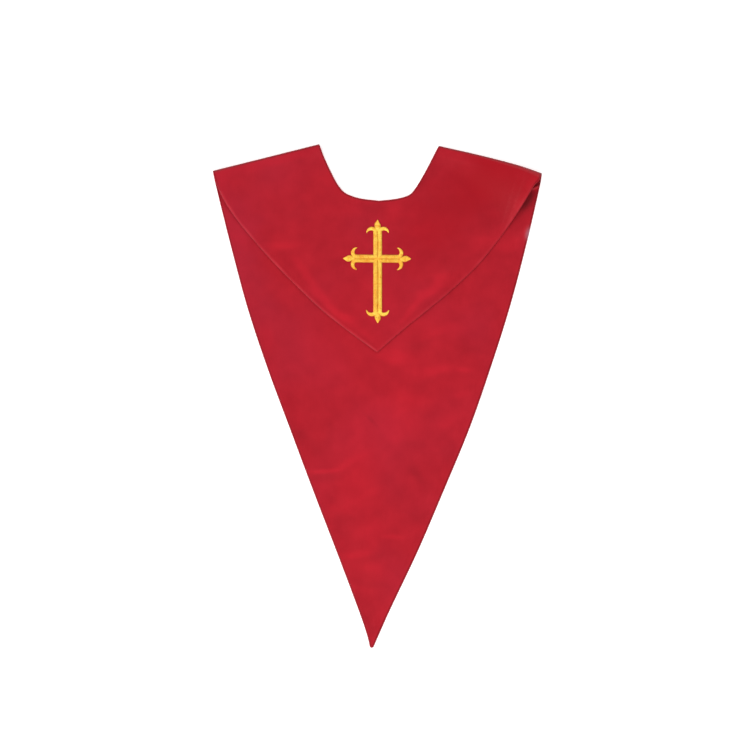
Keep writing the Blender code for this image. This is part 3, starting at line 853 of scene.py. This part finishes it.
def lay_front(points, share):
    place = fold_place(points)
    radius, _, _, fold_depth, settle = place
    depth, run = front_edge.measure(points)
    crest = 2 * radius - WALL - GAP
    settled = np.clip((fold_depth - WALL / 2 - radius) / settle, 0, 1)
    lift = crest * (0.5 + 0.5 * np.cos(pi * settled))
    clear = ease(fold_depth, WALL / 2 + radius, BAND_WIDTH + BAND_STEP)
    waves = crease_height(points, FRONT_CREASES)
    waves += undulation(points, *FRONT_WAVES, FRONT_PHASES[8:]) * clear
    waves *= ease(by_cross(points)[0], *CROSS_CALM)
    waves += stitched_pucker(points, FRONT_PHASES[4:])
    underside = WALL + GAP + lift + np.maximum(waves, 0)
    thickness = WALL + np.minimum(waves, 0) + clear * sewn_edge(depth, run, FRONT_PHASES)
    flat = np.column_stack([points, underside + share * thickness])
    return over_fold(points, place, share, True, flat)


crest = lay_front(np.array([[240.0, 335.0]]), 1.0)[0, 2]
print("the front fold is", round(crest, 2), "mm high by its right corner")

# %% [markdown]
# The cloth mesh. The cut is filled with small even triangles, close together along the folds and
# the edges, and laid twice: once as the underside and once as the top. A rim of narrow faces joins
# the two, with the fine groove where the two layers of satin are sewn together.

# %% Cloth mesh
RIM_ANGLES = (-90, -62, -36, -14, 0, 14, 36, 62, 90)
OUTLINE_ANGLE = 14
TURNED_ROUND = 0.9
SEAM_ROUND = 0.4
RIM_GROOVE = 0.22
SHARPEST_MITRE = 0.2
FINE_ROW = 0.6
EDGE_ROWS = (0.9, 1.9, 3.0)
POINT_REACH = 12
POINT_SPACING = 1.2
CLEARANCE = 0.6
MERGED = 1e-4
NEAR_RIM = 0.3
TUCK_RIM = 0.5
TUCK_SPACING = 0.4
TUCK_CLEARANCE = 0.3
TUCK_REACH = (0.6, 2.2)


def inset(outline, distance):
    """The outline moved in by a distance, kept parallel to itself."""
    before = outline - np.roll(outline, 1, axis=0)
    after = np.roll(outline, -1, axis=0) - outline
    mitre = sum(np.column_stack([-step[:, 1], step[:, 0]]) / norm(step, axis=1)[:, None]
                for step in (before, after))
    scale = 2 / np.maximum((mitre**2).sum(axis=1), SHARPEST_MITRE) * distance
    return outline + mitre * scale[:, None]


def added(kept, points, clearance):
    """The kept points, and those of the others that are not too near them."""
    tree = tree_of(kept)
    far = [tree.find((x, y, 0))[2] >= clearance for x, y in points]
    return np.vstack([kept, points[far]])


def lattice_of(low, high, spacing):
    """Points in even triangles between two corners."""
    columns = np.arange(low[0], high[0], spacing)
    rows = np.arange(low[1], high[1], spacing * sqrt(3) / 2)
    x, y = np.meshgrid(columns, rows)
    x[1::2] += spacing / 2
    return np.column_stack([x.ravel(), y.ravel()])


def tuck_points(tuck):
    """A close lattice over a tuck, turned to run along it."""
    reach = np.array(TUCK_REACH) * (tuck.length, tuck.width)
    points = lattice_of(-reach, reach, tuck.width * TUCK_SPACING)
    turn = radians(tuck.angle)
    along, across = (cos(turn), sin(turn)), (-sin(turn), cos(turn))
    return points @ np.array((along, across)) + (tuck.x, tuck.y)


def inner_points(edge, spacing, tucks):
    """Points inside a cut: fine rows along the folds, rows along the edges, and a lattice."""
    folds = np.vstack([shoulder.rows(spacing, FINE_ROW) for shoulder in SHOULDERS])
    kept = edge.within(folds, SEAM_ROUND + FINE_ROW / 2)
    for tuck in tucks:
        points = edge.within(tuck_points(tuck), TURNED_ROUND + TUCK_RIM)
        kept = added(kept, points, tuck.width * TUCK_CLEARANCE)
    low = edge.outline[np.argmin(edge.outline[:, 1])]
    points = lattice_of(low - POINT_REACH, low + POINT_REACH, POINT_SPACING)
    kept = np.vstack([kept, edge.within(points, TURNED_ROUND + NEAR_RIM)])
    for row in EDGE_ROWS:
        reach = TURNED_ROUND + row * spacing
        points = inset(edge.outline, reach)[:: 1 if row < 1 else 2]
        points = edge.within(points, 0.95 * reach)
        kept = added(kept, points, spacing * CLEARANCE)
    lattice = lattice_of(edge.outline.min(axis=0), edge.outline.max(axis=0), spacing)
    lattice = edge.within(lattice, TURNED_ROUND + (EDGE_ROWS[-1] + CLEARANCE) * spacing)
    return added(kept, lattice, spacing * CLEARANCE)


def band_faces(first, rings, sides):
    """The faces between closed rings of points, which are numbered from first."""
    return [
        (row + side, row + (side + 1) % sides, row + sides + (side + 1) % sides, row + sides + side)
        for row in range(first, first + (rings - 1) * sides, sides)
        for side in range(sides)
    ]


def cloth_shell(edge, on_seam, spacing, tucks, lay):
    """A closed shell of cloth: its places, the same points on the flat cut, and its faces."""
    count = len(edge.outline)
    rounds = np.where(on_seam, SEAM_ROUND, TURNED_ROUND)
    widest = cos(radians(OUTLINE_ANGLE))
    places, cuts, faces = [], [], band_faces(0, len(RIM_ANGLES), count)
    for angle in RIM_ANGLES:
        turn = radians(angle)
        groove = RIM_GROOVE * (angle == 0)
        loop = inset(edge.outline, rounds * (widest - cos(turn)) + groove)
        places.append(lay(loop, (1 + sin(turn)) / 2))
        cuts.append(loop)
    top_rim = (len(RIM_ANGLES) - 1) * count
    filled = delaunay_2d_cdt(
        [Vector(p) for p in np.vstack([cuts[-1], inner_points(edge, spacing, tucks)])],
        [], [list(range(count))], 0, MERGED, True,
    )
    points = np.array([tuple(p) for p in filled[0]])
    border = [min((i for i in origin if i < count), default=None) for origin in filled[3]]
    triangles = [t for t, owner in zip(filled[2], filled[5]) if owner]
    base = top_rim + count
    for share, rim_start in ((0.0, 0), (1.0, top_rim)):
        places.append(lay(points, share))
        cuts.append(points)
        numbers = [base + i if at is None else rim_start + at for i, at in enumerate(border)]
        base += len(points)
        for triangle in triangles:
            corners = [numbers[i] for i in triangle]
            faces.append(corners if share else corners[::-1])
    return np.vstack(places), np.vstack(cuts), faces


back_shell = cloth_shell(back_edge, back_seams, BACK_SPACING, BACK_TUCKS, lay_back)
front_shell = cloth_shell(front_edge, front_seams, FRONT_SPACING, (), lay_front)
print("points in the back and front shell:", len(back_shell[0]), len(front_shell[0]))

# %% [markdown]
# A shell becomes a mesh object with the flat cut as its UV map, and with the numbers that the
# finish reads: where an edge gets wear with a painted highlight or painted shade where it rolls
# down, how far in a point lies, where the seam is, and the tone of the painted sheen and shade.

# %% Panels
# A lighter band along the edges, partly wear and partly a painted highlight, weaker on the right
# side, away from the light.
WORN_HIGHLIGHT_PLACE = 1.9
WORN_HIGHLIGHT_WIDTH = 1.4
OUTER_WORN_HIGHLIGHT = 0.2
RIGHT_WORN_HIGHLIGHT = 0.65
WORN_HIGHLIGHT_LENGTHS = (37, 61, 103)
WORN_HIGHLIGHT_PHASES = (1.0, 2.0, 3.0)
LIGHT_START = (14, 45)
SEAM_FADE = (1, 6)
SEAM_SHADE = 0.5
# Painted shade just inside the front panel's lower edges.
LOWER_RIM_SHADE = (0.2, 1.0)
NECK_REACH = 14
DEEPEST = 12
FOLD_SHADE = 0.85
FOLD_SHADE_FADE = (1.4, 4.2)


def make_piece(name, finish, places, faces, numbers, uv_name, uv):
    """A mesh object in metres, with numbers at its points, a UV map and a finish."""
    mesh = bpy.data.meshes.new(name)
    mesh.from_pydata((places * MM).tolist(), [], faces)
    for kind, values in numbers.items():
        mesh.attributes.new(kind, "FLOAT", "POINT").data.foreach_set("value", values)
    corners = np.zeros(len(mesh.loops), int)
    mesh.loops.foreach_get("vertex_index", corners)
    mesh.uv_layers.new(name=uv_name).data.foreach_set("uv", uv[corners].ravel())
    mesh.materials.append(finish)
    piece = bpy.data.objects.new(name, mesh)
    scene.collection.objects.link(piece)
    bpy.ops.object.select_all(action="DESELECT")
    piece.select_set(True)
    bpy.context.view_layer.objects.active = piece
    bpy.ops.object.mode_set(mode="EDIT")
    bpy.ops.mesh.delete_loose()
    bpy.ops.mesh.select_all(action="SELECT")
    bpy.ops.mesh.normals_make_consistent(inside=False)
    bpy.ops.object.mode_set(mode="OBJECT")
    mesh.calc_loop_triangles()
    print(name, len(mesh.loop_triangles), "triangles")
    return piece


def lower_edge(points):
    """Whether the nearest edge of the front panel is one of the two that lie on the back one."""
    neck = np.vstack(NECK_SCOOP)
    return norm(points[:, None] - neck[None], axis=2).min(axis=1) > NECK_REACH


def shoulder_rim(folds):
    """The shade along the outermost line of a shoulder fold."""
    radius, slack, _, depth, _ = folds
    angle = np.maximum((depth + slack) / radius, 0)
    turned = (WALL / 2 + radius) * (1 - np.cos(angle))
    in_from_line = np.where(angle < pi / 2, turned, depth)
    return FOLD_SHADE * (1 - ease(in_from_line, *FOLD_SHADE_FADE))


def panel(name, finish, edge, shell, patches, tone):
    """A shell of cloth as a piece, with all that the satin reads from its points."""
    places, cut, faces = shell
    depth, run = edge.measure(cut)
    folds = fold_place(cut)
    to_seam = folds[3] + folds[1]
    away = ease(to_seam, *SEAM_FADE)
    upper = edge is front_edge
    lower = lower_edge(cut) * ease(to_seam, *LIGHT_START) * upper
    patchy = 0.7 + 0.3 * uneven(run, WORN_HIGHLIGHT_LENGTHS, WORN_HIGHLIGHT_PHASES)
    side = np.where(cut[:, 0] < 0, 1.0, RIGHT_WORN_HIGHLIGHT)
    worn_highlight = patchy * side * bell(depth, WORN_HIGHLIGHT_PLACE, WORN_HIGHLIGHT_WIDTH)
    # The numbers: wear with a painted highlight, two of painted shade at edges and folds, the
    # depth, the seam, painted sheen and shade, the hue, and one painted glint.
    numbers = {
        "edge": away * worn_highlight * (OUTER_WORN_HIGHLIGHT + (1 - OUTER_WORN_HIGHLIGHT) * lower),
        "rim": 0.5 * away * lower * (1 - ease(depth, *LOWER_RIM_SHADE)) + shoulder_rim(folds),
        "outer": away * (1 - lower),
        "depth": np.minimum(depth, DEEPEST),
        "seam": bell(np.maximum(to_seam, 0), 0, SEAM_SHADE),
        "lustre": patch_tone(cut, patches, tone),
        "hue": patch_tone(cut, HUES, 0.0),
        "pale": patch_tone(cut, () if upper else GLINT_SPOTS, 0.0),
    }
    piece = make_piece(name, finish, places, faces, numbers, "cut", cut * MM)
    bpy.ops.object.shade_smooth()
    return piece


back_cloth = panel(
    "back_panel_cloth", back_satin, back_edge, back_shell, BACK_SHEEN_AND_SHADE, BACK_TONE
)
front_cloth = panel(
    "front_panel_cloth", front_satin, front_edge, front_shell, FRONT_SHEEN_AND_SHADE, FRONT_TONE
)

# %% [markdown]
# The cross is machine embroidery: gold rayon thread that goes over a padding from one side to the
# other, down through the satin, and back, each stitch close beside the last. Every arm has two such
# columns with a groove between them, which lies a little to the right on the upright. They start
# at the mitred middle, run out along the arm, and bend away at its end into the two crescents, and
# a leaf covers the place where they part.

# %% Thread and columns
STITCH_PITCH = 0.42
SLANT = tan(radians(12))
STITCH_CROWN = 1.05
FULL_CROWN_WIDTH = 3.0
LOW_CROWN = 0.35
GROOVE = 0.08
GROOVE_SHIFT = 0.6
BEND_START = 20.5
SHIFT_START = (5, 15)
SHIFT_END = 12
COLUMN_START = 0.3
COLUMN_STEP = 0.1
# Each row: the way in from the arm's end, the way aside, and half the stitch's length.
LEAF = (
    (0.0, 0.0, 0.35), (2.6, 0.0, 2.1), (5.6, 0.0, 3.9), (8.2, 0.0, 4.8), (11.4, 0.0, 4.3),
    (14.5, 0.0, 2.9), (17.4, 0.0, 0.5),
)
CRESCENT = (
    (15.6, 3.9, 3.1), (13.4, 7.2, 2.9), (13.0, 11.0, 2.6), (14.4, 14.6, 2.0), (16.9, 17.1, 1.1),
    (19.6, 18.2, 0.35),
)
Bar = namedtuple("Bar", "half other set_in groove")
UPRIGHT = Bar(half=UPRIGHT_HALF, other=CROSSBAR_HALF, set_in=0, groove=0.45)
CROSSBAR = Bar(half=CROSSBAR_HALF, other=UPRIGHT_HALF, set_in=1.6, groove=0.95)
Arm = namedtuple("Arm", "bar way reach size tones shift")
tilt = radians(CROSSBAR_TILT)
RIGHTWARDS = np.array((cos(tilt), -sin(tilt)))
# An arm's two tones make one column lighter than the other, painted light and shade for the way the
# light takes their mirrored slants.
ARMS = (
    Arm(UPRIGHT, way=(0, 1), reach=ARM_UP, size=0.94, tones=(0.10, 0.20), shift=-GROOVE_SHIFT),
    Arm(UPRIGHT, way=(0, -1), reach=ARM_DOWN, size=0.95, tones=(0.18, 0.05), shift=GROOVE_SHIFT),
    Arm(CROSSBAR, way=-RIGHTWARDS, reach=ARM_LEFT, size=0.93, tones=(-0.06, 0.02), shift=0),
    Arm(CROSSBAR, way=RIGHTWARDS, reach=ARM_RIGHT, size=0.93, tones=(0.02, -0.06), shift=0),
)


def spaced(inner, outer, crown):
    """Stitches picked from a dense column, so that their further ends lie a pitch apart."""
    kept, since = [0], 0.0
    for index in range(1, len(inner)):
        since += max(norm(side[index] - side[index - 1]) for side in (inner, outer))
        if since >= STITCH_PITCH:
            kept.append(index)
            since = 0.0
    return inner[kept], outer[kept], crown[kept]


def along_curve(rows, reach):
    """A column of stitches along a smooth curve of rows, as (out, aside) from the middle."""
    curve = smooth_curve(rows, COLUMN_STEP)
    way = np.gradient(curve[:, :2], axis=0)
    way /= norm(way, axis=1)[:, None]
    across = (np.column_stack([way[:, 1], -way[:, 0]]) + way * SLANT) * curve[:, 2:]
    inner, outer = curve[:, :2] - across, curve[:, :2] + across
    inner[:, 0], outer[:, 0] = reach - inner[:, 0], reach - outer[:, 0]
    return inner, outer, np.minimum(1, curve[:, 2] / FULL_CROWN_WIDTH)


def bar_column(arm, side):
    """One column of an arm, from the mitred middle to the tip of its crescent."""
    half = arm.bar.half
    out = np.arange(COLUMN_START, arm.reach - BEND_START, COLUMN_STEP)
    slope = half / arm.bar.other
    wide = np.minimum(half, out * slope / (1 - SLANT * slope))
    moved = ease(out, *SHIFT_START) * (1 - ease(out, out[-1] - SHIFT_END, out[-1]))
    inner = np.column_stack([out, GROOVE + arm.shift * side * moved])
    outer = np.column_stack([out + SLANT * wide, wide])
    crown = np.minimum(1, LOW_CROWN + wide / 2 / FULL_CROWN_WIDTH)
    crescent = np.array(CRESCENT) * (1, arm.size, 1) + (arm.bar.set_in, 0, 0)
    bent = along_curve([(BEND_START, half / 2, half / 2), *crescent], arm.reach)
    return spaced(*(np.concatenate(parts) for parts in zip((inner, outer, crown), bent)))


print("two columns and a leaf on each of", len(ARMS), "arms")

# %% [markdown]
# One thread is a tube with few sides, arched over the padding, whose ends go down into the satin.
# All of them are laid by one function. Under each column a tube of its own, made from every few
# stitches, is the padding, and a strip along the middle of each bar closes the groove.

# %% Laying the thread
THREAD_RADIUS = 0.22
THREAD_SIDES = 5
STITCH_PLACES = np.array((-1.03, -0.9, -0.5, 0.0, 0.5, 0.9, 1.03))
NEAR_END = (1.0, 0.45, 0, 0, 0, 0.45, 1.0)
STITCH_EDGE = 0.35
CROWN_POWER = 2.5
LEAF_LIFT = 0.16
CLOTH_TOP = 2 * WALL + GAP
FRAY = 0.11
UNEVEN_HEIGHT = 0.03
UNEVEN_TONE = 0.1
LEAF_TONE = 0.05
# The padding and the groove strip take a darker tone and the painted shade of a stitch's end, as
# shade in the groove between the columns.
PADDING_STEP = 5
PADDING_TONE = -0.2
PADDING_END = 0.8
STRIP_FOOT = -0.1
STRIP_HALF = 0.9
STRIP_START = 0.02
STRIP_END = 15.5
Tube = namedtuple("Tube", "rings tone end")
stitch_chance = np.random.default_rng(11)


def to_cross(arm, places, side):
    """Places of an arm, given as out and aside, on the laid stole."""
    way = np.array(arm.way)
    aside = np.array((-way[1], way[0])) * side
    return CROSS_MIDDLE + places[:, :1] * way + places[:, 1:] * aside


def lay_threads(arm, side, column, lift, tone):
    """A tube for each stitch of a column, and one for the padding under it."""
    inner, outer = (to_cross(arm, places, side) for places in column[:2])
    crown = column[2]
    count = len(inner)
    way = (outer - inner) / norm(outer - inner, axis=1)[:, None]
    fray = stitch_chance.uniform(-FRAY, FRAY, (2, count, 1))
    inner, outer = inner + way * fray[0], outer + way * fray[1]
    flat = (inner + outer)[:, None] / 2 + (outer - inner)[:, None] / 2 * STITCH_PLACES[:, None]
    arch = 1 - np.minimum(np.abs(STITCH_PLACES), 1) ** CROWN_POWER
    high = GAP + STITCH_EDGE + lift + STITCH_CROWN * crown[:, None] * arch - THREAD_RADIUS * 0.6
    high = high + stitch_chance.uniform(-UNEVEN_HEIGHT, UNEVEN_HEIGHT, (count, 1))
    high[:, [0, -1]] = -THREAD_RADIUS
    path = np.dstack([flat, CLOTH_TOP + high])
    run = np.gradient(path, axis=1)
    run /= norm(run, axis=2)[:, :, None]
    beside = np.column_stack([-way[:, 1], way[:, 0], np.zeros(count)])[:, None]
    above = np.cross(run, beside)
    turns = (np.arange(THREAD_SIDES) * 2 * pi / THREAD_SIDES)[:, None]
    ring = beside[:, :, None] * np.cos(turns) + above[:, :, None] * np.sin(turns)
    threads = path[:, :, None] + THREAD_RADIUS * ring
    tones = tone + stitch_chance.normal(0, UNEVEN_TONE, count)
    padding = path[np.append(np.arange(0, count - 2, PADDING_STEP), count - 1)].copy()
    padding[:, 1:-1, 2] -= THREAD_RADIUS / 2
    tubes = [Tube(rings, shade, NEAR_END) for rings, shade in zip(threads, tones)]
    return tubes + [Tube(padding, PADDING_TONE, [PADDING_END] * len(padding))]


tubes = []
for arm in ARMS:
    for side, tone in zip((1, -1), arm.tones):
        tubes += lay_threads(arm, side, bar_column(arm, side), 0, tone)
    tubes += lay_threads(arm, 1, spaced(*along_curve(LEAF, arm.reach)), LEAF_LIFT, LEAF_TONE)
    near, far = STRIP_START, arm.reach - STRIP_END
    ring = [(near, STRIP_HALF), (near, -STRIP_HALF), (far, -STRIP_HALF), (far, STRIP_HALF)]
    foot = to_cross(arm, np.array(ring), 1)
    heights = (CLOTH_TOP + STRIP_FOOT, CLOTH_TOP + arm.bar.groove)
    strip = [np.column_stack([foot, np.full(4, height)]) for height in heights]
    tubes.append(Tube(np.array(strip), PADDING_TONE, (PADDING_END, PADDING_END)))
print(len(tubes), "tubes of thread and padding")

# %% [markdown]
# Gold embroidery thread is rayon: many fine filaments, loosely twisted and very glossy. The finish
# varies a little from stitch to stitch, has painted shade where a stitch goes down into the cloth,
# and has a fine slanting ripple from the twist, laid along each thread by a UV map.

# %% Gold thread
DEEP_GOLD = colour(239, 138, 0)
BRIGHT_GOLD = colour(255, 226, 94)
SHADED_GOLD = colour(180, 94, 2)
TWIST = 1.1
GOLD_CLOUDS = 160


def gold(name):
    finish = Finish(bpy.data.materials.new(name))
    tone, end = finish.kept("tone end")
    along, around = finish.split(finish.node("UVMap", {"uv_map": "thread"}))
    patches = finish.cloudy(finish.node("TexCoord", output="Object"), GOLD_CLOUDS)
    twist = ((along / (TWIST * MM) + around) * 2 * pi).maths("SINE") * 0.5 + 0.5
    body = finish.blend(tone + 0.5 + (patches - 0.5) + twist * 0.12, DEEP_GOLD, BRIGHT_GOLD)
    finish.set(
        Base_Color=finish.blend(end * 0.7, body, SHADED_GOLD),
        Roughness=0.36 + end * 0.2 - tone * 0.1,
        Normal=finish.bump(twist, strength=0.5, distance=0.06),
        Specular_IOR_Level=0.26,
    )
    return finish.owner


gold_thread = gold("gold_thread")
print("thread twisted once in", TWIST, "mm")

# %% [markdown]
# All the tubes become one mesh. Each is closed at both ends, and carries the tone of its stitch,
# how near its end a point is, and a UV map that runs along and around the thread.

# %% Stitched cross
SMOOTH_ANGLE = 80

points, faces, uvs, tones, ends = [], [], [], [], []
first = 0
for tube in tubes:
    places, sides, _ = tube.rings.shape
    points.append(tube.rings.reshape(-1, 3))
    faces += band_faces(first, places, sides)
    last = first + (places - 1) * sides
    faces += [tuple(range(first + sides - 1, first - 1, -1)), tuple(range(last, last + sides))]
    first = last + sides
    along = run_along(tube.rings.mean(axis=1)) * MM
    around = np.abs(np.arange(sides) / sides * 2 - 1)
    uvs.append(np.column_stack([np.repeat(along, sides), np.tile(around, places)]))
    tones.append(np.full(places * sides, tube.tone))
    ends.append(np.repeat(tube.end, sides))
numbers = {"tone": np.concatenate(tones), "end": np.concatenate(ends)}
cross = make_piece(
    "cross_stitches", gold_thread, np.vstack(points), faces, numbers, "thread", np.vstack(uvs)
)
bpy.ops.object.shade_smooth_by_angle(angle=radians(SMOOTH_ANGLE))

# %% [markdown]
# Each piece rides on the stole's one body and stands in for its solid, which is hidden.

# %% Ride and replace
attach(back_cloth, "root")
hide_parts("back_panel")
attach(front_cloth, "root")
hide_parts("front_panel")
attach(cross, "root")
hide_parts("cross_embroidery")
